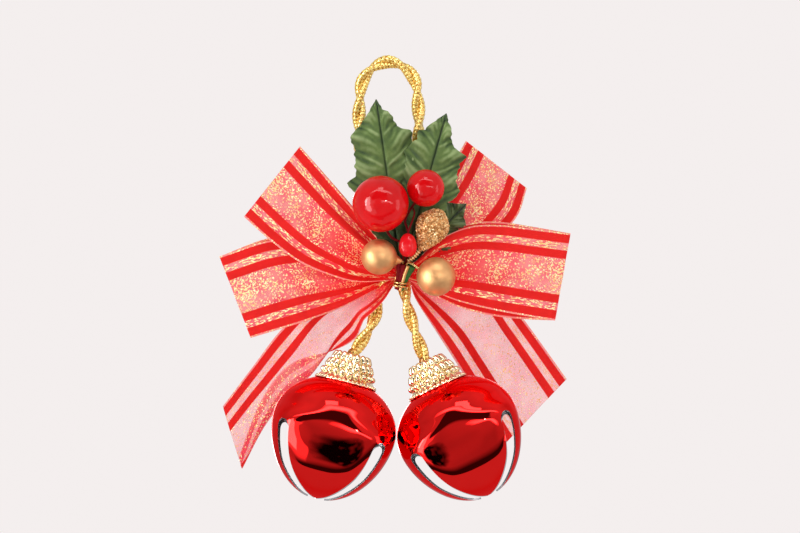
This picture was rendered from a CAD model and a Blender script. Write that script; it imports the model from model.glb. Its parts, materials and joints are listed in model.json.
"""Looks of a hanging Christmas ornament: a sheer ribbon bow, a holly pick and two jingle bells on gold cord.

Shapes are worked out in millimetres in the frame's own axes: +X right, +Y away from the viewer, +Z up.
"""

import json

import bpy
import bmesh
import numpy as np
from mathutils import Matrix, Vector
from numpy import arcsin, array, clip, cos, cross, exp, linspace, pi, sin, sqrt


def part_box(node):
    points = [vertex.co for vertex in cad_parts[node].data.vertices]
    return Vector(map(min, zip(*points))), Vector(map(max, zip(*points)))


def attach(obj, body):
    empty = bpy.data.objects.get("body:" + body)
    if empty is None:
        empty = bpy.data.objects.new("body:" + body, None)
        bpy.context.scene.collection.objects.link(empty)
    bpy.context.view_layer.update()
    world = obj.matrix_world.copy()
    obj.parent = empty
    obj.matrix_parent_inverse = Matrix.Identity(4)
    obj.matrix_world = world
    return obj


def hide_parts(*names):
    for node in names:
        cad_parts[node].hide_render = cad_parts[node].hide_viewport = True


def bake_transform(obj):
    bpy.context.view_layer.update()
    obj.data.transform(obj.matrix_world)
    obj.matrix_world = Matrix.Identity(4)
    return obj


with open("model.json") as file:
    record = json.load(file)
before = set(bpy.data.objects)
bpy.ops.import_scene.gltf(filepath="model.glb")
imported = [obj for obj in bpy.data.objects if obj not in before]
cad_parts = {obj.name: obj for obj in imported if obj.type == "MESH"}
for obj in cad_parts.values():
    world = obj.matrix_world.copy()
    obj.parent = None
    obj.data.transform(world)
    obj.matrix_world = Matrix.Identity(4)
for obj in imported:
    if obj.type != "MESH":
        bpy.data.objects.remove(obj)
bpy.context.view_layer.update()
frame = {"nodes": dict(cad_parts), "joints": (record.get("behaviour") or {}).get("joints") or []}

MM = 0.001
JOINTS = {joint["name"]: joint for joint in frame["joints"]}
FORWARD = array((0.0, -1.0, 0.0))
random = np.random.default_rng(7)

# ---- Sizes, in millimetres ------------------------------------------------------------------------

RIBBON_WIDTH = 25.0
RIBBON_THICKNESS = 0.12
# The satin stripes along each edge, as distances in from it
STRIPES = ((0.5, 2.9), (5.0, 7.4))
STRAND_RADIUS = 0.98
STRAND_OFFSET = 0.92
TWIST_LENGTH = 18.0
# The distance from the waist at which a ribbon's "relief" value is 1
WAIST_REACH = 50.0

BELL_RADIUS = 17.5
DOME_HEIGHT = 14.3
PETAL_HEIGHT = 20.7
SHELL_WALL = 0.5
SLOT_TOP = 15.8
SLOT_WIDTH_TOP = 4.4
SLOT_WIDTH_BOTTOM = 3.4
KNOT_HEIGHT = 6.9
CAP_HEIGHT = 6.8
CAP_RIM_RADIUS = 8.7
CRUMB_COUNT = 2600
CRUMB_SIZE = 0.34
# For each row of beads: how many, radius of the ring, height above the dome's top, straight length, lean
BEAD_ROWS = ((15, 4.75, 5.55, 1.25, 0.42), (18, 6.0, 3.15, 1.25, 0.45), (21, 7.1, 1.0, 0.0, 0.0))
EDGE_BEADS = 42


def centre(node):
    low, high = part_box(node)
    return array((low + high) / 2) / MM


def size(node):
    low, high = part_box(node)
    return array(high - low) / MM


def joint_point(name):
    return array(JOINTS[name]["pos_m"]) / MM


WAIST = centre("bow_waist")


# ---- Curves and meshes ----------------------------------------------------------------------------


def circle(count):
    """Evenly spaced angles round a full turn."""
    return linspace(0, 2 * pi, count, endpoint=False)


def unit(vectors):
    return vectors / np.maximum(np.linalg.norm(vectors, axis=-1, keepdims=True), 1e-9)


def step(values, low, high):
    """0 below low, 1 above high, smooth in between."""
    t = clip((values - low) / (high - low), 0, 1)
    return t * t * (3 - 2 * t)


def along(line):
    """Distance along a polyline at each of its points."""
    steps = np.linalg.norm(np.diff(line, axis=0), axis=1)
    return np.concatenate(([0], np.cumsum(steps)))


def even(line, count):
    """The same polyline with its points evenly spaced."""
    travelled = along(line)
    places = linspace(0, travelled[-1], count)
    return np.stack([np.interp(places, travelled, line[:, k]) for k in range(line.shape[1])], axis=1)


def curve(points, count):
    """A smooth curve through points, as count evenly spaced points."""
    p = array(points, float)
    knots = np.concatenate(([0], np.cumsum(sqrt(np.linalg.norm(np.diff(p, axis=0), axis=1)))))
    slopes = np.gradient(p, knots, axis=0)
    fine = []
    for i in range(len(p) - 1):
        t = linspace(0, 1, 40)[:, None]
        gap = knots[i + 1] - knots[i]
        fine.append(
            (2 * t**3 - 3 * t**2 + 1) * p[i]
            + (t**3 - 2 * t**2 + t) * gap * slopes[i]
            + (3 * t**2 - 2 * t**3) * p[i + 1]
            + (t**3 - t**2) * gap * slopes[i + 1]
        )
    return even(np.concatenate(fine), count)


def grid(rows, cols, wrap=False, start=0):
    """Quads of a grid of points, row by row; wrap joins the last column to the first."""
    r, c = np.meshgrid(np.arange(rows - 1), np.arange(cols if wrap else cols - 1), indexing="ij")
    right = (c + 1) % cols
    quads = (r * cols + c, r * cols + right, (r + 1) * cols + right, (r + 1) * cols + c)
    return start + np.stack(quads, axis=-1).reshape(-1, 4)


def closed_grid(rows, sides):
    """Faces of a grid that wraps round, with a cap on its first and last row."""
    start, count = (rows - 1) * sides, rows * sides
    return [*grid(rows, sides, wrap=True).tolist(), list(range(sides))[::-1], list(range(start, count))]


def add_piece(name, points, faces, material, uv=None, values=None, face_materials=None, smooth=True):
    """A mesh object from points in millimetres."""
    mesh = bpy.data.meshes.new(name)
    mesh.from_pydata((array(points) * MM).tolist(), [], [list(map(int, face)) for face in faces])
    for slot in material if isinstance(material, (list, tuple)) else (material,):
        mesh.materials.append(slot)
    mesh.polygons.foreach_set("use_smooth", [smooth] * len(mesh.polygons))
    if face_materials is not None:
        mesh.polygons.foreach_set("material_index", face_materials)
    if uv is not None:
        corners = np.zeros(len(mesh.loops), np.int32)
        mesh.loops.foreach_get("vertex_index", corners)
        layer = mesh.uv_layers.new(name="UVMap")
        layer.data.foreach_set("uv", array(uv)[corners].ravel())
    if values is not None:
        attribute = mesh.attributes.new("relief", "FLOAT", "POINT")
        attribute.data.foreach_set("value", array(values, np.float32))
    made = bpy.data.objects.new(name, mesh)
    bpy.context.scene.collection.objects.link(made)
    return made


def fit(piece, nodes=(), body=None):
    """Names the record's material slot and the CAD nodes that a piece stands for, and the body it is on."""
    if nodes:
        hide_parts(*nodes)
    if body:
        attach(piece, body)
    return piece


def tidy_mesh(piece, gap=1e-4):
    """Joins points that coincide and turns every face outward."""
    work = bmesh.new()
    work.from_mesh(piece.data)
    bmesh.ops.remove_doubles(work, verts=work.verts, dist=gap * MM)
    bmesh.ops.dissolve_degenerate(work, edges=work.edges, dist=gap * MM)
    bmesh.ops.recalc_face_normals(work, faces=work.faces)
    work.to_mesh(piece.data)
    work.free()
    return piece


def joined(parts):
    """Several (points, faces) as one."""
    points, faces, start = [], [], 0
    for more_points, more_faces in parts:
        points.append(more_points)
        faces += [[int(i) + start for i in face] for face in more_faces]
        start += len(more_points)
    return np.concatenate(points), faces


def cross_frames(line, reference=FORWARD):
    """Two directions across a line at each point, turning as little as possible."""
    tangents = unit(np.gradient(line, axis=0))
    first = np.zeros_like(line)
    side = array(reference, float)
    for i, tangent in enumerate(tangents):
        side = unit(side - tangent * (side @ tangent))
        first[i] = side
    return first, cross(tangents, first)


def tube(line, radius, sides):
    """Points and faces of a capped tube; radius is a number or an array of (points, sides)."""
    first, second = cross_frames(line)
    angles = circle(sides)
    reach = np.broadcast_to(radius, (len(line), sides))[..., None]
    around = first[:, None] * cos(angles)[:, None] + second[:, None] * sin(angles)[:, None]
    points = (line[:, None] + around * reach).reshape(-1, 3)
    return points, closed_grid(len(line), sides)


def revolved(profile, sides, wave=None):
    """Points and faces of a profile of (radius, height) turned about Z; wave shapes the radius."""
    angles = circle(sides)
    radius = profile[:, 0][:, None] * (np.ones(sides) if wave is None else wave(angles))
    height = np.broadcast_to(profile[:, 1][:, None], radius.shape)
    points = np.stack((radius * cos(angles), radius * sin(angles), height), axis=-1)
    return points.reshape(-1, 3), grid(len(profile), sides, wrap=True).tolist()


# ---- Materials ------------------------------------------------------------------------------------


class Nodes:
    """A node tree, built one node at a time around its main shader."""

    def __init__(self, data, shader):
        self.data = data
        data.use_nodes = True
        self.tree = data.node_tree
        self.shader = self.tree.nodes[shader]

    def set(self, inputs, node=None):
        node = node or self.shader
        for key, value in inputs.items():
            if isinstance(value, bpy.types.NodeSocket):
                self.tree.links.new(value, node.inputs[key])
            else:
                is_colour = isinstance(value, tuple) and len(node.inputs[key].default_value) == 4
                node.inputs[key].default_value = (*value, 1.0) if is_colour else value

    def node(self, kind, inputs=None, **settings):
        made = self.tree.nodes.new(f"ShaderNode{kind}")
        for key, value in settings.items():
            setattr(made, key, value)
        self.set(inputs or {}, made)
        return made

    def place(self):
        return self.node("TexCoord").outputs["Object"]

    def math(self, operation, a, b=0.0):
        return self.node("Math", {0: a, 1: b}, operation=operation).outputs[0]

    def times(self, a, b):
        return self.math("MULTIPLY", a, b)

    def plus(self, a, b):
        return self.math("ADD", a, b)

    def minus(self, a, b):
        return self.math("SUBTRACT", a, b)

    def mix(self, share, a, b):
        made = self.node("Mix", {0: share}, data_type="RGBA")
        self.set({6: a, 7: b}, made)
        return made.outputs[2]

    def blend(self, share, a, b):
        """A number between a and b."""
        return self.node("Mix", {0: share, 2: a, 3: b}).outputs[0]

    def noise(self, scale, detail=2.0, where=None):
        inputs = {"Vector": where or self.place(), "Scale": scale, "Detail": detail}
        return self.node("TexNoise", inputs).outputs[0]

    def above(self, value, low, high):
        """0 where value is under low, 1 where it is over high."""
        return self.node("MapRange", {"Value": value, "From Min": low, "From Max": high}).outputs[0]

    def between(self, value, low, high, fade_in, fade_out):
        """1 from low to high, fading to 0 over a distance beyond each."""
        rise = self.above(value, low - fade_in, low)
        return self.times(rise, self.minus(1.0, self.above(value, high, high + fade_out)))

    def bump(self, height, distance, strength=1.0):
        inputs = {"Height": height, "Distance": distance * MM, "Strength": strength}
        self.set({"Normal": self.node("Bump", inputs).outputs[0]})


class Material(Nodes):
    """A node material, built one node at a time around its Principled shader."""

    def __init__(self, name, inputs):
        super().__init__(bpy.data.materials.new(name), "Principled BSDF")
        self.set(inputs)

    def colour(self, share, a, b):
        self.set({"Base Color": self.mix(share, a, b)})

    def rough(self, share, a, b):
        self.set({"Roughness": self.blend(share, a, b)})


class World(Nodes):
    """A node world, built the same way around its Background shader."""

    def __init__(self, name):
        super().__init__(bpy.data.worlds.new(name), "Background")


PER_MM = 1 / MM


def coated(name, inputs, tone, polish, grain):
    """A surface whose colour, roughness and fine relief each vary by a noise of their own.

    tone and polish are noise scale per millimetre, detail, low and high; grain is scale, detail, depth
    in millimetres and strength.
    """
    made = Material(name, inputs)
    scale, detail, low, high = tone
    made.colour(made.noise(scale * PER_MM, detail), low, high)
    scale, detail, low, high = polish
    made.rough(made.noise(scale * PER_MM, detail), low, high)
    scale, detail, depth, strength = grain
    made.bump(made.noise(scale * PER_MM, detail), depth, strength)
    return made.data


def cord_material():
    """Metallic braid: bright on the plaits, brown down between them."""
    made = Material("gold_braid", {"Metallic": 0.35, "Roughness": 0.18, "Specular IOR Level": 0.8})
    relief = made.node("Attribute", attribute_name="relief").outputs["Fac"]
    fleck = made.noise(2.2 * PER_MM, 3)
    depth = made.plus(relief, made.times(made.minus(fleck, 0.47), 2.8))
    low = made.mix(made.above(depth, 0.0, 0.45), (0.32, 0.115, 0.012), (0.90, 0.48, 0.05))
    made.colour(made.above(depth, 0.35, 0.9), low, (0.98, 0.80, 0.27))
    made.bump(made.noise(5.0 * PER_MM, 2), 0.05, 0.6)
    return made.data


def stripe_mask(made, across):
    """1 on the four satin stripes, else 0, and the distance in from the nearer edge in millimetres."""
    off_middle = made.math("ABSOLUTE", made.minus(across, RIBBON_WIDTH / 2))
    from_edge = made.minus(RIBBON_WIDTH / 2, off_middle)
    bands = []
    for low, high in STRIPES:
        rise = made.above(from_edge, low - 0.06, low + 0.06)
        bands.append(made.minus(rise, made.above(from_edge, high - 0.06, high + 0.06)))
    return made.plus(*bands), from_edge


def speckles(made, where, scale, randomness):
    """Three random numbers, the same all over each small cell of the ribbon."""
    inputs = {"Vector": where, "Scale": scale, "Randomness": randomness}
    cells = made.node("TexVoronoi", inputs, voronoi_dimensions="2D")
    return made.node("SeparateXYZ", {0: cells.outputs["Color"]})


def ribbon_material(name, glitter, sheer, blush):
    """Sheer pink ribbon woven with glitter, between pairs of red satin stripes.

    It deepens to red toward the waist, out to blush times WAIST_REACH away. The more glitter there
    is, the more gold flakes show; sheer is how far the net between the stripes hides what is behind.
    """
    made = Material(name, {"Specular IOR Level": 0.12})
    uv = made.node("UVMap", uv_map="UVMap").outputs[0]
    parts = made.node("SeparateXYZ", {0: uv})
    down = made.times(parts.outputs[0], 100.0)
    across = made.times(parts.outputs[1], 100.0)
    stripes, from_edge = stripe_mask(made, across)
    flat = made.node("CombineXYZ", {0: down, 1: across}).outputs[0]
    picks = speckles(made, flat, 3.3, 0.9)
    away = made.node("Attribute", attribute_name="relief").outputs["Fac"]
    drawn_out = made.node("CombineXYZ", {0: made.times(down, 0.36), 1: across}).outputs[0]
    long_pick = speckles(made, drawn_out, 3.4, 1.0).outputs[0]
    gap_from, gap_to = STRIPES[0][1], STRIPES[1][0]
    past_gap = made.above(from_edge, gap_to - 0.1, gap_to)
    gap = made.minus(made.above(from_edge, gap_from, gap_from + 0.1), past_gap)
    dash = made.times(made.above(long_pick, 0.62, 0.66), gap)
    patches = made.minus(made.noise(0.11, 2, flat), made.times(away, 0.22))
    chance = made.blend(made.above(patches, 0.18, 0.52), 1.0 - 0.46 * glitter, 1.0 - 0.10 * glitter)
    flake = made.above(picks.outputs[0], chance, made.plus(chance, 0.05))
    flake = made.times(flake, made.minus(made.minus(1.0, stripes), gap))
    flake = made.math("MAXIMUM", flake, made.times(dash, min(1.0, glitter * 1.6)))
    glow = made.above(made.noise(0.16, 1, flat), 0.42, 0.62)
    net = made.mix(glow, (0.98, 0.15, 0.22), (1.0, 0.36, 0.37))
    near = made.minus(1.0, made.above(away, blush * 0.25, blush))
    net = made.mix(near, net, (0.95, 0.028, 0.030))
    selvage = made.minus(1.0, made.above(from_edge, 0.25, 0.5))
    net = made.mix(selvage, net, (1.0, 0.30, 0.27))
    gold = made.mix(picks.outputs[1], (1.0, 0.52, 0.16), (1.0, 0.90, 0.55))
    satin = made.mix(made.noise(0.3, 2, flat), (0.68, 0.013, 0.012), (0.86, 0.020, 0.017))
    colour = made.mix(stripes, made.mix(flake, net, gold), satin)
    inputs = {"Vector": flat, "Scale": 2.6, "Distortion": 0.4}
    weave = made.node("TexWave", inputs, bands_direction="X").outputs["Fac"]
    thread = made.blend(weave, sheer * 0.7, sheer * 1.3)
    thread = made.blend(near, thread, 0.82)
    veil = made.blend(selvage, made.blend(flake, thread, 0.92), min(1.0, sheer * 2.2))
    made.set({
        "Base Color": colour,
        "Metallic": made.times(flake, 0.3),
        "Roughness": made.blend(flake, 0.6, 0.35),
        "Alpha": made.blend(stripes, veil, 0.985),
        "Emission Color": colour,
        "Emission Strength": 0.16,
    })
    made.bump(made.plus(made.times(weave, 0.5), made.times(picks.outputs[2], flake)), 0.06, 0.8)
    return made.data


def leaf_material(name, dark):
    """Green cloth, paler along its pressed veins."""
    made = Material(name, {"Roughness": 0.62, "Sheen Weight": 0.3, "Specular IOR Level": 0.35})
    relief = made.node("Attribute", attribute_name="relief").outputs["Fac"]
    mottle = made.noise(0.35 * PER_MM, 4)
    greens = ((0.060, 0.120, 0.022), (0.165, 0.255, 0.058), (0.018, 0.050, 0.010), (0.40, 0.52, 0.23))
    low, high, crease, vein = (tuple(dark * c for c in green) for green in greens)
    shade = made.plus(relief, made.times(made.minus(mottle, 0.5), 0.7))
    base = made.mix(made.above(shade, 0.0, 0.5), crease, made.mix(mottle, low, high))
    made.colour(made.above(shade, 0.5, 1.1), base, vein)
    made.bump(made.noise(2.6 * PER_MM, 2), 0.06, 0.5)
    return made.data


def crumb_material():
    """Coarse gold glitter crumbs, each its own shade."""
    made = Material("glitter_crumbs", {"Metallic": 0.45, "Roughness": 0.34})
    relief = made.node("Attribute", attribute_name="relief").outputs["Fac"]
    low = made.mix(made.above(relief, 0.0, 0.5), (0.44, 0.18, 0.045), (0.95, 0.52, 0.19))
    made.colour(made.above(relief, 0.5, 1.0), low, (1.0, 0.84, 0.48))
    made.bump(made.noise(3.0 * PER_MM, 2), 0.05, 0.5)
    return made.data


def wrapped_wire_material(name, low, high):
    """Paper-wrapped wire, wound in fine turns."""
    made = Material(name, {"Roughness": 0.6, "Specular IOR Level": 0.15})
    inputs = {"Vector": made.place(), "Scale": 0.9 * PER_MM, "Distortion": 1.0}
    winding = made.node("TexWave", inputs, bands_direction="Z").outputs["Fac"]
    made.colour(winding, low, high)
    made.bump(winding, 0.05, 0.7)
    return made.data


BRAID = cord_material()
LOOP_RIBBON = ribbon_material("loop_ribbon", 1.0, 0.48, 0.80)
TAIL_RIBBON = ribbon_material("tail_ribbon", 0.35, 0.33, 0.42)
LEAF = leaf_material("leaf_cloth", 1.0)
DARK_LEAF = leaf_material("shaded_leaf_cloth", 0.5)
CRUMBS = crumb_material()
STEM_RED = wrapped_wire_material("stem_red", (0.12, 0.002, 0.005), (0.33, 0.006, 0.012))
TAPE_GREEN = wrapped_wire_material("tape_green", (0.02, 0.09, 0.02), (0.06, 0.22, 0.05))

# Clear red lacquer over polished metal
LACQUER = coated(
    "red_lacquer",
    {"Metallic": 1.0, "Coat Weight": 0.12, "Coat Roughness": 0.03, "Specular Tint": (1.0, 0.16, 0.17)},
    (0.12, 2, (0.88, 0.009, 0.008), (0.98, 0.014, 0.012)), (0.8, 3, 0.015, 0.06), (0.25, 1, 0.03, 0.25),
)

# Plated metals, a little streaked: inside the bells, the balls, the caps and the thin wire
METAL = {"Metallic": 1.0}
NICKEL = coated(
    "bell_inside", METAL,
    (0.6, 4, (0.62, 0.62, 0.64), (0.465, 0.465, 0.48)), (0.6, 4, 0.16, 0.32), (3.0, 2, 0.01, 0.3),
)
BALL_STEEL = coated(
    "ball_steel", METAL,
    (0.6, 4, (0.36, 0.36, 0.38), (0.27, 0.27, 0.285)), (0.6, 4, 0.2, 0.4), (3.0, 2, 0.01, 0.3),
)
CHAMPAGNE = coated(
    "champagne_gold", METAL,
    (1.1, 3, (0.93, 0.84, 0.62), (0.84, 0.66, 0.38)), (1.1, 3, 0.1, 0.24), (2.5, 2, 0.006, 0.3),
)
GOLD_WIRE = coated(
    "gold_wire", METAL,
    (1.6, 3, (0.86, 0.58, 0.24), (0.50, 0.28, 0.09)), (1.6, 3, 0.16, 0.34), (4.0, 1, 0.01, 0.3),
)

# Glossy red lacquer on the foam berries and the bud
GLOSS = {"Coat Weight": 0.5, "Coat Roughness": 0.035, "Specular IOR Level": 0.05}
BERRY = coated(
    "berry_red", GLOSS,
    (0.25, 3, (0.60, 0.001, 0.003), (0.86, 0.004, 0.007)), (0.5, 3, 0.16, 0.30), (0.7, 3, 0.04, 0.4),
)
BUD = coated(
    "bud_red", GLOSS,
    (0.25, 3, (0.78, 0.004, 0.010), (1.0, 0.02, 0.03)), (0.5, 3, 0.16, 0.30), (0.7, 3, 0.04, 0.4),
)

# Bronze-gold paint with a satin sheen
SATIN_GOLD = coated(
    "satin_gold", {"Metallic": 0.85},
    (0.45, 4, (0.62, 0.290, 0.105), (0.94, 0.54, 0.245)), (1.5, 3, 0.40, 0.54), (1.4, 4, 0.06, 0.4),
)


# ---- Cord -----------------------------------------------------------------------------------------


def cord_strand(name, line, turn):
    """One strand of the cord, braided, wound round the cord's centre line."""
    rings = int(along(line)[-1] / 0.2)
    middle = even(line, rings)
    first, second = cross_frames(middle)
    travelled = along(middle)
    angle = (2 * pi * travelled / TWIST_LENGTH + turn)[:, None]
    strand = middle + (first * cos(angle) + second * sin(angle)) * STRAND_OFFSET
    sides = 20
    around = circle(sides)[None]
    plait = 2 * pi * travelled[:, None] / 2.1
    relief = 0.5 + 0.5 * cos(3 * around + plait) * cos(3 * around - plait)
    points, faces = tube(strand, STRAND_RADIUS + 0.24 * (relief - 0.5), sides)
    return add_piece(name, points, faces, BRAID, values=relief.ravel())


def hanging_loop():
    """The tall loop, from behind the bow's waist up over the hang point and back."""
    low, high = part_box("hanging_loop_strand_a")
    also_low, also_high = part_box("hanging_loop_strand_b")
    cord = STRAND_RADIUS + STRAND_OFFSET
    half = (max(high.x, also_high.x) - min(low.x, also_low.x)) / MM / 2 - cord
    top = max(high.z, also_high.z) / MM - cord
    waist_x, waist_y, waist_z = WAIST
    arch = (
        (0.55 * half, top - 1.7), (0.90 * half, top - 5.4), (half, top - 11.0), (1.03 * half, top - 19.0),
    )
    left = [(-x, 0, z) for x, z in (*arch, (0.88 * half, top - 29.0), (0.6 * half, top - 41.0))]
    right = [(x, 0, z) for x, z in (*arch, (0.97 * half, top - 32.0), (0.86 * half, top - 43.0))]
    feet_z = waist_z + 4.5
    down = [(waist_x - 1.9, 0.3, feet_z), (waist_x - 1.0, waist_y, waist_z)]
    up = [(waist_x + 1.0, waist_y, waist_z), (waist_x + 1.9, 0.3, feet_z)]
    line = curve(up + right[::-1] + [(0, 0, top)] + left + down, 900)
    fold = joint_point("bow_fold")
    for letter, turn in (("a", 0.9), ("b", 0.9 + pi)):
        piece = cord_strand(f"hanging_cord_{letter}", line, turn)
        fit(piece, (f"hanging_loop_strand_{letter}",))
        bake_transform(piece)


def drop_cords():
    """The cords below the bow, each in an upper and a lower part that bend at their hinges."""
    waist_x, _, waist_z = WAIST
    starts = {
        "left": [(waist_x - 2.4, 0.3, waist_z), (waist_x - 6.2, 0.4, waist_z - 6.8)],
        "right": [(waist_x + 0.4, 0.2, waist_z)],
    }
    for side, start in starts.items():
        pitch, sway, nod = (
            joint_point(f"{side}_{kind}") for kind in ("cord_pitch", "cord_sway", "bell_nod")
        )
        line = curve([*start, pitch, sway, nod], 300)
        cut = int(np.argmin(np.linalg.norm(line - (pitch + sway) / 2, axis=1)))
        travelled = along(line)
        replaced = ("left_cord_bend", "left_cord_root") if side == "left" else ("right_cord_bend",)
        top, end = f"{side}_cord_top", f"{side}_cord_end"
        # For each part: its centre line, how far down the cord it starts, the lengths of CAD cord it
        # replaces, the bodies above and below its hinge, the hinge and the next hinge down
        spans = (
            ("upper", line[: cut + 1], 0.0, replaced, "bow", top, pitch, sway),
            ("lower", line[cut:], travelled[cut], (f"{side}_cord",), top, end, sway, nod),
        )
        for part, span, offset, lengths, above, below, bend, beyond in spans:
            for letter, turn in (("a", 0.4), ("b", 0.4 + pi)):
                phase = turn + 2 * pi * offset / TWIST_LENGTH
                piece = cord_strand(f"{side}_cord_{part}_{letter}", span, phase)
                fit(piece, [f"{length}_strand_{letter}" for length in lengths])
                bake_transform(piece)


# ---- Ribbon ---------------------------------------------------------------------------------------


def sheet(edge_a, edge_b, pleats, phase, columns=90):
    """Points across a ribbon between its two edges; where they come together it gathers in pleats."""
    chord = edge_b - edge_a
    length = np.linalg.norm(chord, axis=1)
    slack = sqrt(clip(length.max() ** 2 - length**2, 0, None))
    v = linspace(0, 1, columns)
    wave = sin(2 * pi * pleats * v + phase) * sin(pi * v) ** 0.25
    depth = (slack / (4.6 * pleats))[:, None] * wave
    points = edge_a[:, None] + chord[:, None] * v[:, None]
    points[..., 1] += depth
    return points, v


def ribbon_piece(name, points, v, material, nodes):
    """A thin ribbon with its width in v and its distance from the waist as the relief value."""
    rows, columns = points.shape[:2]
    down = along(points[:, columns // 2])
    uv = np.stack(np.broadcast_arrays(down[:, None], v[None] * RIBBON_WIDTH), axis=-1) / 100
    reach = np.linalg.norm((points - WAIST)[..., [0, 2]], axis=-1)
    piece = add_piece(name, points.reshape(-1, 3), grid(rows, columns), material, uv=uv.reshape(-1, 2),
                      values=(reach / WAIST_REACH).ravel())
    thick = piece.modifiers.new("thickness", "SOLIDIFY")
    thick.thickness = RIBBON_THICKNESS * MM
    thick.offset = 0
    return fit(piece, nodes)


def loop_edge(path, foot_y, tip_y, opening, back_drop, rows):
    """One edge of a ribbon loop: out along the front, round the fold, and back behind."""
    outward = curve([(x, z) for x, z in path], rows)
    share = linspace(0, 1, rows)
    middle = foot_y + (tip_y - foot_y) * share
    gape = 0.8 + opening * sin(pi * share**0.8) ** 0.8 * (1 - 0.2 * share)
    gape = np.where(share > 0.9, 0.45 + (gape - 0.45) * (1 - share) / 0.1, gape)
    front = np.stack((outward[:, 0], middle - gape, outward[:, 1]), axis=1)
    sag = back_drop * sin(pi * share)
    back = np.stack((outward[:, 0], middle + gape, outward[:, 1] + sag), axis=1)
    heading = unit(front[-1] - front[-4])
    bend = [
        front[-1] * (1 - s) + back[-1] * s + heading * 0.55 * sin(pi * s)
        for s in linspace(0, 1, 9)[1:-1]
    ]
    return np.concatenate((front, bend, back[::-1]))


def ribbon_loop(name, node, upper, lower, foot_y, tip_y, opening, back_drop, pleats, phase):
    rows = 70
    edge_a = loop_edge(upper, foot_y, tip_y, opening, back_drop[0], rows)
    edge_b = loop_edge(lower, foot_y, tip_y, opening, back_drop[1], rows)
    points, v = sheet(edge_a, edge_b, pleats, phase)
    piece = ribbon_piece(name, points, v, LOOP_RIBBON, (node,))
    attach(piece, "bow")


def ribbon_loops():
    front, rear = WAIST[1] - 2.6, WAIST[1] + 2.4
    ribbon_loop(
        "ribbon_upper_left", "upper_left_loop",
        ((2.0, -56.0), (-1.8, -50.0), (-5.2, -45.6), (-24.4, -22.8)),
        ((1.6, -59.6), (-9.0, -60.1), (-16.5, -58.2), (-24.9, -54.6), (-33.3, -48.4), (-40.0, -42.4)),
        front, front - 2.0, 2.4, (0.5, 1.5), 2.5, 0.4,
    )
    ribbon_loop(
        "ribbon_lower_left", "lower_left_loop",
        ((1.6, -57.0), (-12.0, -52.6), (-24.0, -48.4), (-33.9, -48.7), (-47.2, -52.9)),
        ((1.8, -59.9), (-3.9, -62.4), (-13.7, -67.5), (-24.1, -71.4), (-38.4, -75.8)),
        rear, rear + 2.0, 2.2, (1.0, 1.8), 2.5, 2.2,
    )
    ribbon_loop(
        "ribbon_upper_right", "upper_right_loop",
        ((6.4, -55.6), (10.2, -44.0), (14.6, -34.0), (21.4, -21.0)),
        ((6.4, -58.4), (20.0, -54.6), (30.6, -47.6), (36.2, -41.4), (38.6, -34.4)),
        rear, rear + 2.4, 2.2, (0.8, 0.8), 2.5, 1.2,
    )
    ribbon_loop(
        "ribbon_lower_right", "lower_right_loop",
        ((5.4, -56.4), (14.3, -48.4), (22.7, -44.8), (31.1, -44.4), (39.5, -45.3), (50.1, -46.6)),
        ((5.4, -59.6), (9.6, -61.4), (18.5, -65.2), (28.3, -67.8), (36.7, -69.4), (45.8, -70.9)),
        front, front - 2.0, 2.4, (1.0, -1.8), 2.5, 3.6,
    )


def lift_span(side, edge):
    """Where a tail starts and ends its bend, either side of the line it lifts about."""
    pivot = joint_point(f"{side}_tail_lift")
    heading = unit(edge[-1] - edge[0])
    return (pivot - heading * 4) * MM, (pivot + heading * 5) * MM


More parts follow.
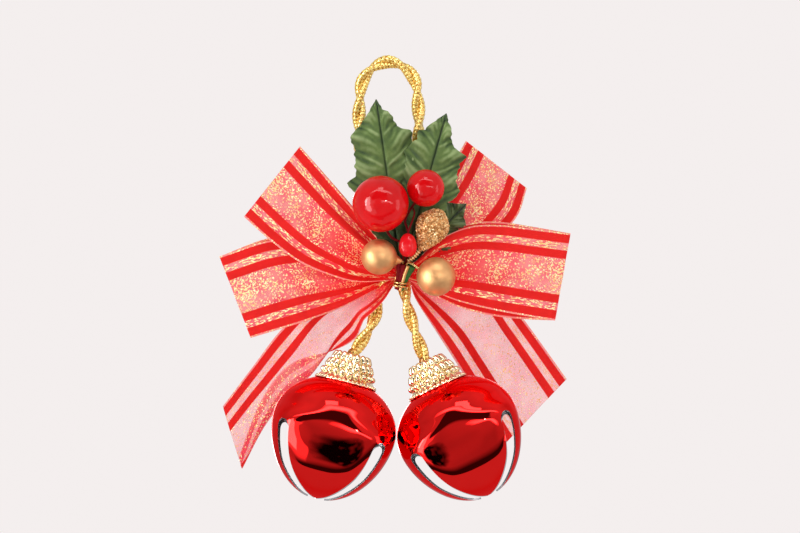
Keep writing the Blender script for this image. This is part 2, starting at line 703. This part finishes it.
def left_tail():
    """The left tail: its inner side crosses the cord below the waist, then curls backward lower down."""
    rows = 110
    outer = curve(
        ((1.0, 4.0, -59.8), (-12.0, 9.5, -62.5), (-23.0, 14.5, -67.2), (-31.0, 20.0, -74.2),
         (-39.4, 24.0, -85.0), (-47.7, 24.0, -96.0)), rows)
    inner = curve(
        ((2.4, 1.6, -59.9), (0.9, -3.6, -61.8), (-1.1, -3.7, -65.0), (-4.2, -3.4, -68.4),
         (-6.7, -2.2, -70.6), (-7.8, 0.8, -72.8), (-9.2, 5.0, -75.8), (-14.4, 11.0, -80.8),
         (-20.7, 17.0, -85.9), (-28.2, 23.0, -92.4), (-36.0, 24.0, -102.2), (-42.3, 24.0, -114.0)), rows)
    chord = inner - outer
    visible = np.linalg.norm(chord, axis=1)
    across = unit(chord)
    v = linspace(0, 1, 110)
    share = linspace(0, 1, rows)[:, None]
    curled = step(share, 0.32, 0.62)
    curl_radius, curl_turn = 1.9, 2.5
    straight = visible[:, None] - curl_radius
    bend = clip((v * RIBBON_WIDTH - straight) / curl_radius, 0, curl_turn)
    beyond = clip(v * RIBBON_WIDTH - straight - curl_turn * curl_radius, 0, None)
    rolled = np.minimum(v * RIBBON_WIDTH, straight) + curl_radius * sin(bend) + beyond * cos(curl_turn)
    behind = curl_radius * (1 - cos(bend)) + beyond * sin(curl_turn)
    reach = v * visible[:, None] * (1 - curled) + rolled * curled
    slack = sqrt(clip(RIBBON_WIDTH**2 - visible**2, 0, None))[:, None] * (1 - curled)
    pleat = slack / 18.0 * sin(2 * pi * 2.5 * v + 0.6) * step(v, 0, 0.1) * (1 - step(v, 0.7, 0.9))
    ripple = 0.9 * sin(2 * pi * (v + 1.5 * share)) * step(share, 0.3, 0.6)
    first = 0.05 + 2.6 * share
    inward = step((v - first) / 0.25, 0, 1) * (1 - step(share, 0.22, 0.4))
    depth = outer[:, 1:2] + (inner[:, 1:2] - outer[:, 1:2]) * (v * (1 - inward) + inward)
    points = outer[:, None] + across[:, None] * reach[..., None]
    eased = 1 - step(share, 0.3, 0.45)
    points[..., 1] = points[..., 1] * (1 - eased) + depth * eased + behind * curled + pleat + ripple
    piece = ribbon_piece("ribbon_left_tail", points, v, TAIL_RIBBON, ("left_tail_root", "left_tail"))
    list(lift_span("left", outer))
    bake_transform(piece)


def right_tail():
    """The right tail: gathered at the waist, then flat, with a gentle ripple."""
    rows = 90
    outer = curve(
        ((7.0, 4.0, -59.2), (18.0, 8.0, -57.6), (30.0, 13.0, -60.6), (37.7, 20.0, -70.1),
         (50.9, 24.0, -88.2)), rows)
    inner = curve(
        ((6.0, 4.0, -60.6), (7.3, 7.0, -64.6), (13.4, 12.0, -74.3), (20.4, 19.0, -85.3),
         (33.3, 24.0, -106.6)), rows)
    points, v = sheet(outer, inner, 2.5, 0.9, 100)
    share = linspace(0, 1, rows)[:, None]
    points[..., 1] += 0.6 * sin(2 * pi * (0.8 * v + 1.1 * share)) * step(share, 0.3, 0.7)
    piece = ribbon_piece("ribbon_right_tail", points, v, TAIL_RIBBON, ("right_tail_root", "right_tail"))
    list(lift_span("right", inner))
    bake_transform(piece)


def waist():
    """The gathered middle of the bow, crimped into folds by its wire."""
    _, depth, height = size("bow_waist") / 2
    across = linspace(-1, 1, 41)
    angles = circle(96)
    flare = 0.62 + 0.38 * abs(across) ** 1.5
    folds = 1 + 0.10 * sin(11 * angles)[None] + 0.05 * sin(23 * angles + 1.0)[None]
    reach = flare[:, None] * folds
    points = np.stack(
        (
            np.broadcast_to(WAIST[0] + across[:, None] * 4.4, reach.shape),
            WAIST[1] + depth * reach * cos(angles),
            WAIST[2] + height * reach * sin(angles),
        ),
        axis=-1,
    ).reshape(-1, 3)
    faces = closed_grid(len(across), len(angles))
    ring = np.broadcast_to(2.0 + 5.0 * (angles % (pi / 2)) / (pi / 2), reach.shape)
    uv = np.stack((np.broadcast_to(across[:, None] * 4, reach.shape), ring), axis=-1).reshape(-1, 2) / 100
    piece = add_piece("ribbon_waist", points, faces, LOOP_RIBBON, uv=uv, values=[0.0] * len(points))
    fit(tidy_mesh(piece), ("bow_waist",), "bow")


# ---- Bells ----------------------------------------------------------------------------------------


def bell_frame(side):
    """The bell's origin at the top of its dome, and its three axes as rows."""
    nod, roll = joint_point(f"{side}_bell_nod"), joint_point(f"{side}_ball_roll")
    up = unit(nod - roll)
    back = unit(array(JOINTS[f"{side}_ball_roll"]["axis"]))
    return nod - up * KNOT_HEIGHT, np.stack((cross(back, up), back, up))


def placed(points, side):
    origin, axes = bell_frame(side)
    return array(points) @ axes + origin


def shell_radius(depth):
    dome = sqrt(clip(1 - ((DOME_HEIGHT - depth) / DOME_HEIGHT) ** 2, 0, 1))
    petal = sqrt(clip(1 - (clip(depth - DOME_HEIGHT, 0, None) / PETAL_HEIGHT) ** 1.8, 0, 1))
    return BELL_RADIUS * np.where(depth < DOME_HEIGHT, dome, petal)


def shell_point(angle, depth):
    """A point of the shell's outside; the lower part is squarer, flattened between the slots."""
    square = 2 + 1.2 * (step(depth, 9.5, 16.5) - 0.8 * step(depth, 26.0, 34.5))
    reach = shell_radius(depth) / (abs(cos(angle)) ** square + abs(sin(angle)) ** square) ** (1 / square)
    return np.stack((reach * cos(angle), reach * sin(angle), -depth), axis=-1)


def shell_normal(angle, depth):
    tiny = 1e-3
    low, high = depth - tiny, np.minimum(depth + tiny, DOME_HEIGHT + PETAL_HEIGHT)
    down = shell_point(angle, high) - shell_point(angle, np.maximum(low, 1e-6))
    round_ = shell_point(angle + tiny, depth) - shell_point(angle - tiny, depth)
    normal = cross(down, round_)
    flat = np.linalg.norm(normal, axis=-1) < 1e-12
    normal[flat] = (0, 0, 1)
    normal = unit(normal)
    outward = shell_point(angle, depth) + array((0, 0, DOME_HEIGHT))
    return normal * np.sign((normal * outward).sum(-1))[..., None]


def slot_half_width(depth):
    top = SLOT_WIDTH_TOP / 2
    down = clip(depth - SLOT_TOP, 0, None)
    rounded = sqrt(clip(top**2 - clip(top - down, 0, None) ** 2, 0, None))
    taper = (SLOT_WIDTH_TOP - SLOT_WIDTH_BOTTOM) / 2 * clip((down - top) / (PETAL_HEIGHT - 4), 0, 1)
    return np.where(down > 0, rounded - taper, 0)


def petal_angles(depth, columns):
    """Angles across one petal at each depth, from slot edge to slot edge."""
    half_width = slot_half_width(depth)
    edge = np.full_like(depth, pi / 4)
    for _ in range(6):
        reach = np.linalg.norm(shell_point(edge, depth)[..., :2], axis=-1)
        edge = pi / 4 - arcsin(clip(half_width / np.maximum(reach, 1e-6), 0, sin(pi / 4)))
    return edge[:, None] * linspace(-1, 1, columns)


def shell_depths():
    """Depths evenly spaced along the shell's profile, closer together round the slots' ends."""
    fine = DOME_HEIGHT * (1 - cos(linspace(0, pi / 2, 400)))
    fine = np.concatenate((fine, DOME_HEIGHT + PETAL_HEIGHT * sin(linspace(0, pi / 2, 800))[1:]))
    travelled = along(np.stack((shell_radius(fine), fine), axis=1))
    depths = np.interp(linspace(0, travelled[-1], 110), travelled, fine)
    last = fine[shell_radius(fine) > SLOT_WIDTH_BOTTOM / 2 / sin(pi / 4)][-1]
    ends = SLOT_TOP + SLOT_WIDTH_TOP / 2 * (1 - cos(linspace(0, pi / 2, 12)))
    keep = (depths < SLOT_TOP - 0.15) | ((depths > ends[-1] + 0.15) & (depths < last - 0.02))
    return np.sort(np.concatenate((depths[keep], ends, (last,))))


def bell_shell(side):
    depths, columns = shell_depths(), 33
    angle = petal_angles(depths, columns)
    depth = np.broadcast_to(depths[:, None], angle.shape)
    cut_from = int(np.searchsorted(depths, SLOT_TOP))
    rows = len(depths)
    count = rows * columns
    parts, kinds = [], []
    for quarter in range(4):
        turned = angle + quarter * pi / 2
        outside = shell_point(turned, depth)
        inside = outside - shell_normal(turned, depth) * SHELL_WALL
        points = np.concatenate((outside.reshape(-1, 3), inside.reshape(-1, 3)))
        faces = grid(rows, columns).tolist() + grid(rows, columns, start=count)[:, ::-1].tolist()
        kinds += [0] * ((rows - 1) * (columns - 1)) + [1] * ((rows - 1) * (columns - 1))
        for column in (0, columns - 1):
            for row in range(cut_from, rows - 1):
                a, b = row * columns + column, (row + 1) * columns + column
                faces.append([a, b, b + count, a + count])
                kinds.append(1)
        foot = (rows - 1) * columns
        for column in range(columns - 1):
            a = foot + column
            faces.append([a, a + 1, a + 1 + count, a + count])
            kinds.append(1)
        parts.append((points, faces))
    points, faces = joined(parts)
    piece = add_piece(f"{side}_bell", placed(points, side), faces, (LACQUER, NICKEL), face_materials=kinds)
    tidy_mesh(piece)
    piece.data.set_sharp_from_angle(angle=0.9)
    fit(piece, (f"{side}_bell_shell",), f"{side}_bell")


def capsule(radius, half, sides=14, rings=12):
    """A bead: a ball drawn out along Z."""
    turn = linspace(-pi / 2, pi / 2, rings)
    profile = np.stack((radius * cos(turn), radius * sin(turn) + half * np.sign(turn)), axis=1)
    return revolved(profile, sides)


def bell_cap(side):
    """The beaded cap: a thin scalloped skirt under three rows of beads, with tiny beads at its rim."""
    sag = DOME_HEIGHT - sqrt(1 - (CAP_RIM_RADIUS / BELL_RADIUS) ** 2) * DOME_HEIGHT
    rim = 0.12 - sag
    skirt = curve(
        ((2.4, CAP_HEIGHT - 0.5), (4.2, CAP_HEIGHT - 0.4), (5.2, 4.4), (6.3, 1.6), (7.3, 0.0),
         (8.2, rim + 0.75), (CAP_RIM_RADIUS, rim + 0.35)), 40)
    inner = np.stack((skirt[::-1, 0] - 0.12, skirt[::-1, 1] - 0.35), axis=1)
    profile = np.concatenate((skirt, inner, skirt[:1]))

    def scallop(angles):
        return 1 + 0.012 * abs(sin(21 * angles / 2)) * 2

    parts = [revolved(profile, 168, scallop)]
    for row, (count, ring, height, straight, lean) in enumerate(BEAD_ROWS):
        bead_points, bead_faces = capsule(0.92 if straight else 0.86, straight * 0.42)
        tip = array(((cos(lean), 0, sin(lean)), (0, 1, 0), (-sin(lean), 0, cos(lean))))
        for i in range(count):
            a = 2 * pi * (i + row / 2) / count
            spin = array(((cos(a), sin(a), 0), (-sin(a), cos(a), 0), (0, 0, 1)))
            moved = (bead_points @ tip + (ring, 0, height)) @ spin
            parts.append((moved, bead_faces))
    bead_points, bead_faces = capsule(0.42, 0.0, 8, 7)
    for i in range(EDGE_BEADS):
        a = 2 * pi * i / EDGE_BEADS
        parts.append((bead_points + (8.35 * cos(a), 8.35 * sin(a), rim + 0.55), bead_faces))
    points, faces = joined(parts)
    piece = add_piece(f"{side}_cap", placed(points, side), faces, CHAMPAGNE)
    fit(tidy_mesh(piece), (f"{side}_bell_cap",), f"{side}_bell")


# ---- Holly pick -----------------------------------------------------------------------------------


def half_width(outline, share):
    """Half width of a leaf at each share of its length, from (share, width) pairs down one side."""
    spots = array(outline)[::-1]
    return np.interp(share, spots[:, 0], spots[:, 1])


def leaf(name, node, base, tip, left, right, bow, material):
    """A pressed cloth leaf: a sunk midrib, raised side veins and waves between them.

    left and right are half outlines, from the tip down, as shares of the length and widths.
    """
    base, tip = array(base), array(tip)
    length = np.linalg.norm(tip - base)
    axis = (tip - base) / length
    side = unit(cross(axis, FORWARD))
    rows, columns = 190, 61
    share = linspace(0, 1, rows)[:, None]
    s = linspace(-1, 1, columns)[None]
    ragged = 0.22 * sin(29 * pi * share + 2) + 0.14 * sin(53 * pi * share)
    width = np.where(s < 0, half_width(left, share), half_width(right, share))
    width = width + ragged * sin(pi * share) ** 0.5
    x = s * width
    y = share * length
    spacing = length / 5.2
    phase = (y - 0.75 * abs(x)) / spacing
    vein = exp(-((abs(phase - np.round(phase)) * spacing) ** 2) / 0.28)
    vein *= step(abs(x), 0.2, 1.2) * step(share, 0.02, 0.1) * (1 - step(share, 0.93, 1.0))
    midrib = exp(-(x**2) / 0.09)
    billow = cos(2 * pi * phase + pi) * step(abs(s), 0.1, 0.8)
    lift = 0.85 * billow + 0.30 * vein - 0.75 * midrib - 0.02 * x**2 * (0.4 + 0.6 * share)
    ribs = cos(2 * pi * (phase * 4 + 0.35 * sin(5 * s + 9 * share))) * step(abs(s), 0.06, 0.4)
    lift = lift + 0.35 * sin(1.9 * phase * pi + 1.3 * s) * abs(s) + 0.07 * ribs
    lift = lift * step(share, 0, 0.15)
    sweep = bow * sin(pi * share)
    points = (
        base
        + axis * y[..., None]
        + side * x[..., None]
        + FORWARD * (lift + sweep + 0 * x)[..., None]
    )
    relief = clip(0.44 + vein * 0.42 + 0.34 * billow + 0.15 * ribs - 0.55 * midrib, 0, 1)
    relief = relief * (0.1 + 0.9 * step(share, 0.12, 0.62))
    piece = add_piece(name, points.reshape(-1, 3), grid(rows, columns), material, values=relief.ravel())
    tidy_mesh(piece)
    thick = piece.modifiers.new("cloth", "SOLIDIFY")
    thick.thickness = 0.22 * MM
    thick.offset = 0
    fit(piece, (node,), "bow")


def leaves():
    leaf(
        "holly_left", "left_leaf", (3.1, -4.6, -54.6), (-3.6, -3.4, -9.2),
        ((1, 0), (0.89, 3.9), (0.79, 8.9), (0.74, 7.9), (0.66, 8.2), (0.55, 8.7), (0.52, 11.8),
         (0.45, 9.2), (0.36, 9.6), (0.3, 10.6), (0.24, 7.2), (0.1, 4.0), (0, 0.6)),
        ((1, 0), (0.93, 1.5), (0.915, 2.8), (0.875, 3.9), (0.82, 4.7), (0.80, 5.8), (0.785, 8.6),
         (0.73, 8.2), (0.66, 9.2), (0.58, 10.6), (0.5, 8.4), (0.3, 7.8), (0.24, 6.0), (0.1, 3.4), (0, 0.6)),
        0.8, LEAF,
    )
    leaf(
        "holly_right", "right_leaf", (4.5, -5.8, -54.6), (16.0, -4.6, -13.2),
        ((1, 0), (0.905, 3.4), (0.86, 4.6), (0.85, 6.2), (0.79, 6.0), (0.70, 8.4), (0.62, 7.0),
         (0.52, 7.2), (0.36, 7.0), (0.2, 5.0), (0.08, 2.5), (0, 0.6)),
        ((1, 0), (0.965, 1.0), (0.95, 0.9), (0.93, 2.2), (0.83, 3.6), (0.80, 4.6), (0.765, 8.6),
         (0.70, 7.4), (0.6, 7.6), (0.52, 9.6), (0.44, 7.0), (0.3, 6.6), (0.1, 3.0), (0, 0.6)),
        0.8, LEAF,
    )
    leaf(
        "holly_small", "small_leaf", (5.9, -3.9, -54.6), (21.6, -4.2, -38.4),
        ((1, 0), (0.9, 2.4), (0.82, 5.2), (0.74, 4.2), (0.6, 4.8), (0.5, 6.2), (0.4, 4.4), (0, 0.6)),
        ((1, 0), (0.88, 1.6), (0.8, 4.2), (0.72, 3.4), (0.55, 4.2), (0.45, 5.6), (0.35, 3.8), (0, 0.6)),
        0.4, DARK_LEAF,
    )


def ball_piece(name, node, material, nub=None, wrinkle=0.0):
    """A round berry, very slightly uneven, with a nub or a dimple where its stem goes in."""
    middle, radius = centre(node), size(node).max() / 2
    rings, sides = 96, 128
    polar = linspace(0, pi, rings)[:, None]
    around = circle(sides)[None]
    pole = unit(array((0.15, 0.25, -1.0) if nub is None else nub))
    side = unit(cross(pole, FORWARD))
    other = cross(pole, side)
    uneven = 1 + 0.006 * sin(3 * around + 1) * sin(polar) ** 2 + 0.004 * sin(5 * around) * sin(2 * polar)
    if nub is None:
        reach = radius * (uneven - 0.05 * exp(-((polar / 0.16) ** 2)))
    else:
        reach = radius * (uneven + 0.34 * exp(-((polar / 0.20) ** 2)))
        reach = reach + wrinkle * sin(7 * around) * exp(-(((polar - 0.55) / 0.22) ** 2))
    direction = (
        pole * cos(polar)[..., None]
        + side * (sin(polar) * cos(around))[..., None]
        + other * (sin(polar) * sin(around))[..., None]
    )
    points = middle + direction * reach[..., None]
    piece = add_piece(name, points.reshape(-1, 3), grid(rings, sides, wrap=True), material)
    fit(tidy_mesh(piece), (node,), "bow")


def berries():
    ball_piece("berry_red_large", "big_red_berry", BERRY)
    ball_piece("berry_red_small", "small_red_berry", BERRY)
    ball_piece("berry_gold_left", "left_gold_berry", SATIN_GOLD, (1, 0.1, -0.2), 0.07)
    ball_piece("berry_gold_right", "right_gold_berry", SATIN_GOLD)


def bud():
    """The small long berry and the thin stem that comes down to it from behind the red berries."""
    middle, (_, _, height) = centre("red_bud"), size("red_bud")
    turn = linspace(0, pi, 48)
    radius = 2.5 * sin(turn) ** 0.9 * (1 - 0.12 * cos(turn))
    profile = np.stack((radius, cos(turn) * height / 2), axis=1)
    points, faces = revolved(profile, 64, lambda angles: 1 + 0.03 * cos(5 * angles))
    piece = add_piece("bud_red", points + middle, faces, BUD)
    fit(tidy_mesh(piece), ("red_bud",), "bow")
    top = middle + (0, 0, height / 2 - 0.3)
    end = array(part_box("red_bud_stem")[1]) / MM - (0.6, 0.3, 0.4)
    line = curve((top, top + (0.5, 0.1, 1.6), top + (1.4, 0.8, 4.0), top + (1.9, 1.8, 6.0), end), 40)
    stem = add_piece("bud_stem", *tube(line, 0.24, 12), STEM_RED)
    fit(stem, ("red_bud_stem",), "bow")


def crumbs_on(points, normals, spread):
    """Small faceted crumbs of glitter scattered over a surface, and the shade of each."""
    corners = array(((1, 0, 0), (-1, 0, 0), (0, 1, 0), (0, -1, 0), (0, 0, 1), (0, 0, -1)), float)
    facets = ((0, 2, 4), (2, 1, 4), (1, 3, 4), (3, 0, 4), (2, 0, 5), (1, 2, 5), (3, 1, 5), (0, 3, 5))
    parts, shades = [], []
    for point, normal in zip(points, normals):
        turn, _ = np.linalg.qr(random.normal(size=(3, 3)))
        stretch = random.uniform(0.6, 1.25, 3) * spread
        parts.append(((corners * stretch) @ turn + point + normal * random.uniform(-0.1, 0.25), facets))
        shades += [random.uniform()] * len(corners)
    made, faces = joined(parts)
    return made, faces, shades


def cone():
    """The glittered cone and its glitter-wound stem."""
    depth = centre("cone_pod")[1]
    tip = array((14.3, depth, -40.4))
    tail = array((8.9, depth, -51.2))
    stem_end = array((5.2, -9.6, -54.6))
    axis = unit(tip - tail)
    side = unit(cross(axis, FORWARD))
    other = cross(axis, side)
    length = np.linalg.norm(tip - tail)
    share = random.uniform(0, 1, CRUMB_COUNT) ** 0.8
    turn = random.uniform(0, 2 * pi, CRUMB_COUNT)

    def girth(at):
        return 3.9 * (sin(pi * clip(at, 0, 1) ** 1.35) ** 0.72) + 0.35

    outward = side * cos(turn)[:, None] + other * sin(turn)[:, None]
    normal = unit(outward + axis * ((share - 0.45) * 1.4)[:, None])
    points = tail + axis * (share * length)[:, None] + outward * girth(share)[:, None]
    made, faces, shades = crumbs_on(points, normal, CRUMB_SIZE)
    crumbs = add_piece("cone_glitter", made, faces, CRUMBS, values=shades, smooth=False)
    at = linspace(0, 1, 40)
    profile = np.stack((girth(at) - 0.15, at * length), axis=1)
    profile = np.concatenate((((0, 0),), profile, ((0, length),)))
    core_points, core_faces = revolved(profile, 48)
    core_points = tail + core_points @ np.stack((side, other, axis))
    core = add_piece("cone_core", core_points, core_faces, CRUMBS, values=[0.25] * len(core_points))
    tidy_mesh(core)
    line = curve((tail + axis * 0.8, (7.2, -10.0, -53.0), stem_end), 60)
    turns = 2 * pi * along(line) / 0.75
    stem_points, stem_faces = tube(line, 0.55 + 0.14 * sin(turns)[:, None], 14)
    shades = np.repeat(0.5 + 0.5 * sin(turns), 14)
    stem = add_piece("cone_stem", stem_points, stem_faces, CRUMBS, values=shades)
    for piece, nodes in ((crumbs, ()), (core, ("cone_pod",)), (stem, ("cone_stem",))):
        fit(piece, nodes, "bow")


def stem_bundle():
    """The stems' gathered ends: dark red wires at the left, green tape at the right, gold between."""
    top = array((4.6, -9.5, -55.3))
    bottom = array((2.8, -8.2, -62.3))
    axis = unit(bottom - top)
    # For each wire: its look, its angle round the bundle in degrees, and its radius at the top
    wires = ((STEM_RED, 205, 0.75), (STEM_RED, 160, 0.75), (STEM_RED, 250, 0.7), (CRUMBS, 290, 0.5),
             (TAPE_GREEN, 20, 1.3), (TAPE_GREEN, 340, 1.1), (STEM_RED, 90, 0.8))
    left = unit(array((-1.0, 0.0, 0.0)) - axis * (-axis[0]))
    front = unit(cross(left, axis))
    front = front * np.sign(front @ FORWARD)
    for i, (material, angle, radius) in enumerate(wires):
        turn = angle * pi / 180
        out = -left * cos(turn) - front * sin(turn)
        line = curve((top + out * 2.0, top * 0.6 + bottom * 0.4 + out * 1.3, bottom + out * 0.9), 40)
        points, faces = tube(line, linspace(radius, 0.44, 40)[:, None], 16)
        piece = add_piece(f"stem_end_{i}", points, faces, material, values=[0.5] * len(points))
        fit(piece, () if i else ("stem_bundle",), "bow")


def carried_over():
    """Materials for the CAD pieces whose shape is already right."""
    looks = {
        "waist_wire": GOLD_WIRE,
        "binding_coil": GOLD_WIRE,
        "big_red_stem": STEM_RED,
        "small_red_stem": STEM_RED,
        "left_gold_stem": GOLD_WIRE,
        "right_gold_stem": GOLD_WIRE,
        "left_bell_shank": NICKEL,
        "right_bell_shank": NICKEL,
        "left_cord_knot": BRAID,
        "right_cord_knot": BRAID,
        "left_jingle_ball": BALL_STEEL,
        "right_jingle_ball": BALL_STEEL,
    }
    for node, material in looks.items():
        piece = frame["nodes"][node]
        piece.data.materials.clear()
        piece.data.materials.append(material)


# ---- Studio ---------------------------------------------------------------------------------------

BACKDROP = (0.905, 0.860, 0.855)
FLOOR_HEIGHT = -320
FLOOR_RADIUS = 2000
# The camera's place in metres and its lens in millimetres: a level view from 1 m in front
CAMERA_PLACE = (0.0031, -1.0, -0.0559)
LENS = 160.7


def mirrored_room(made):
    """What shiny pieces mirror: a pale room with a window, a table's edge and dark and bright shapes.

    Places in the room are slopes, across and upward, of a line of sight toward the front.
    """
    heading = made.node("TexCoord").outputs["Generated"]
    wobble = made.node("TexNoise", {"Vector": heading, "Scale": 2.2, "Detail": 1.0}).outputs[0]
    swirl = made.node("TexNoise", {"Vector": heading, "Scale": 1.6, "Detail": 0.0}).outputs[0]
    parts = made.node("SeparateXYZ", {0: heading})
    ahead = made.math("MAXIMUM", made.times(parts.outputs[1], -1.0), 0.10)
    sway = made.times(made.minus(wobble, 0.5), 0.9)
    lift = made.times(made.minus(swirl, 0.5), 0.7)
    across = made.plus(made.math("DIVIDE", parts.outputs[0], ahead), sway)
    upward = made.plus(made.math("DIVIDE", parts.outputs[2], ahead), lift)
    leaning = made.plus(upward, made.times(across, -0.25))
    haze = made.above(made.node("TexNoise", {"Vector": heading, "Scale": 1.1}).outputs[0], 0.35, 0.65)
    level = made.blend(made.above(parts.outputs[2], -0.2, 0.9), 0.50, 0.72)
    level = made.times(level, made.blend(haze, 0.78, 1.2))
    # For each shape: its span each way, with a fade beyond both ends, and its brightness. They are a
    # window, the pane in it, a dark wedge over the camera and the table's dark edge
    shapes = (
        ((across, -2.6, -0.62, 0.3, 0.05), (upward, -1.0, 0.45, 0.4, 0.2), 1.6),
        ((across, -2.3, -1.15, 0.15, 0.06), (upward, -0.9, 0.75, 0.1, 0.1), 9.0),
        ((across, -0.75, 0.62, 0.06, 0.10), (upward, 0.34, 1.10, 0.16, 0.03), 0.05),
        ((leaning, -1.75, -1.35, 0.03, 0.35), (across, -1.6, 2.2, 0.3, 0.3), 0.03),
    )
    for one_way, other_way, brightness in shapes:
        inside = made.times(made.between(*one_way), made.between(*other_way))
        level = made.blend(inside, level, brightness)
    table = made.minus(1.0, made.above(leaning, -1.80, -1.76))
    level = made.blend(table, level, 0.60)
    arcs = (
        ((upward, 1.30, 1.42, 0.12, 0.3), (across, -0.9, 1.1, 0.8, 0.8)),
        ((upward, 0.10, 0.20, 0.10, 0.08), (across, 0.35, 1.0, 0.3, 0.4)),
    )
    glints = made.math("MAXIMUM", *(made.times(made.between(*a), made.between(*b)) for a, b in arcs))
    level = made.plus(level, made.times(glints, 6.5))
    return made.node("CombineXYZ", {0: level, 1: level, 2: level}).outputs[0]


def room_world():
    """Even light all round, a plain pale backdrop for the camera, and a room for mirrors."""
    made = World("studio_room")
    path = made.node("LightPath")
    lit = made.mix(path.outputs["Is Glossy Ray"], (0.62, 0.61, 0.60), mirrored_room(made))
    made.set({"Color": made.mix(path.outputs["Is Camera Ray"], lit, BACKDROP)})
    bpy.context.scene.world = made.data


def floor():
    """A wide pale disc under the ornament, fading out at its rim and clear from below."""
    made = Material("pale_floor", {"Base Color": (0.80, 0.765, 0.76), "Roughness": 0.9})
    made.set({"Specular IOR Level": 0.0, "Emission Color": BACKDROP, "Emission Strength": 0.30})
    flat = made.node("VectorMath", {0: made.place(), 1: (1.0, 1.0, 0.0)}, operation="MULTIPLY").outputs[0]
    reach = made.node("VectorMath", {0: flat}, operation="LENGTH").outputs["Value"]
    inside = made.minus(1.0, made.above(reach, 0.6, 1.9))
    from_above = made.minus(1.0, made.node("NewGeometry").outputs["Backfacing"])
    made.set({"Alpha": made.times(inside, from_above)})
    sides = 96
    angles = circle(sides)
    points = [(FLOOR_RADIUS * cos(a), FLOOR_RADIUS * sin(a), FLOOR_HEIGHT) for a in angles]
    piece = add_piece("floor", points, [list(range(sides))], made.data)
    piece.visible_glossy = False


def dark_card():
    """A ragged dark patch before the left bell, seen only in mirrors."""
    inputs = {"Base Color": (0.004, 0.001, 0.004), "Roughness": 1.0, "Specular IOR Level": 0.0}
    made = Material("dark_card", inputs)
    middle, half = array((-9.0, -61.0, -138.0)), 42.0
    away = made.node("VectorMath", {0: made.place(), 1: tuple(-middle * MM)}, operation="ADD").outputs[0]
    reach = made.node("VectorMath", {0: away}, operation="LENGTH").outputs["Value"]
    ragged = made.times(made.minus(made.noise(0.05 * PER_MM, 2), 0.5), 0.02)
    reach = made.plus(reach, ragged)
    edge = made.minus(1.0, made.above(reach, 0.5 * half * MM, 0.75 * half * MM))
    hole = made.above(made.noise(0.07 * PER_MM, 1), 0.50, 0.66)
    made.set({"Alpha": made.times(edge, made.minus(1.0, made.times(hole, 0.4)))})
    corners = [middle + (half * x, 0, half * z) for x, z in ((-1, -1), (1, -1), (1, 1), (-1, 1))]
    piece = add_piece("dark_card", corners, [(0, 1, 2, 3)], made.data)
    piece.visible_camera = piece.visible_diffuse = piece.visible_shadow = False


def softbox(name, place, aim, width, height, power):
    """A lamp of width by height metres, turned to aim at a point."""
    light = bpy.data.lights.new(name, "AREA")
    light.shape = "RECTANGLE"
    light.size, light.size_y = width, height
    light.energy = power
    lamp = bpy.data.objects.new(name, light)
    lamp.location = place
    lamp.rotation_euler = (Vector(aim) - Vector(place)).to_track_quat("-Z", "Y").to_euler()
    lamp.visible_camera = False
    bpy.context.scene.collection.objects.link(lamp)


def studio():
    """Soft lights at left, right and above, over a pale floor."""
    floor()
    dark_card()
    aim = (0.0, 0.0, -0.06)
    softbox("left_window", (-0.92, -0.46, 0.06), aim, 0.13, 0.44, 2.6)
    softbox("right_lamp", (0.40, -1.02, 0.16), aim, 0.05, 0.06, 1.1)
    softbox("right_fill", (0.95, -0.25, -0.1), aim, 0.30, 0.60, 1.0)
    softbox("overhead", (0.0, -0.45, 0.90), aim, 0.36, 0.20, 1.3)


def camera():
    """Level, from the front, with the whole ornament in frame."""
    view = bpy.data.cameras.new("camera")
    view.sensor_width = 36
    view.lens = LENS
    made = bpy.data.objects.new("camera", view)
    made.location = CAMERA_PLACE
    made.rotation_euler = (pi / 2, 0, 0)
    bpy.context.scene.collection.objects.link(made)
    bpy.context.scene.camera = made


# ---- Everything -----------------------------------------------------------------------------------

hanging_loop()
drop_cords()
ribbon_loops()
left_tail()
right_tail()
waist()
for bell_side in ("left", "right"):
    bell_shell(bell_side)
    bell_cap(bell_side)
leaves()
berries()
bud()
cone()
stem_bundle()
carried_over()
room_world()
studio()
camera()
bpy.context.scene.view_settings.view_transform = "Standard"
bpy.context.scene.cycles.transparent_max_bounces = 32
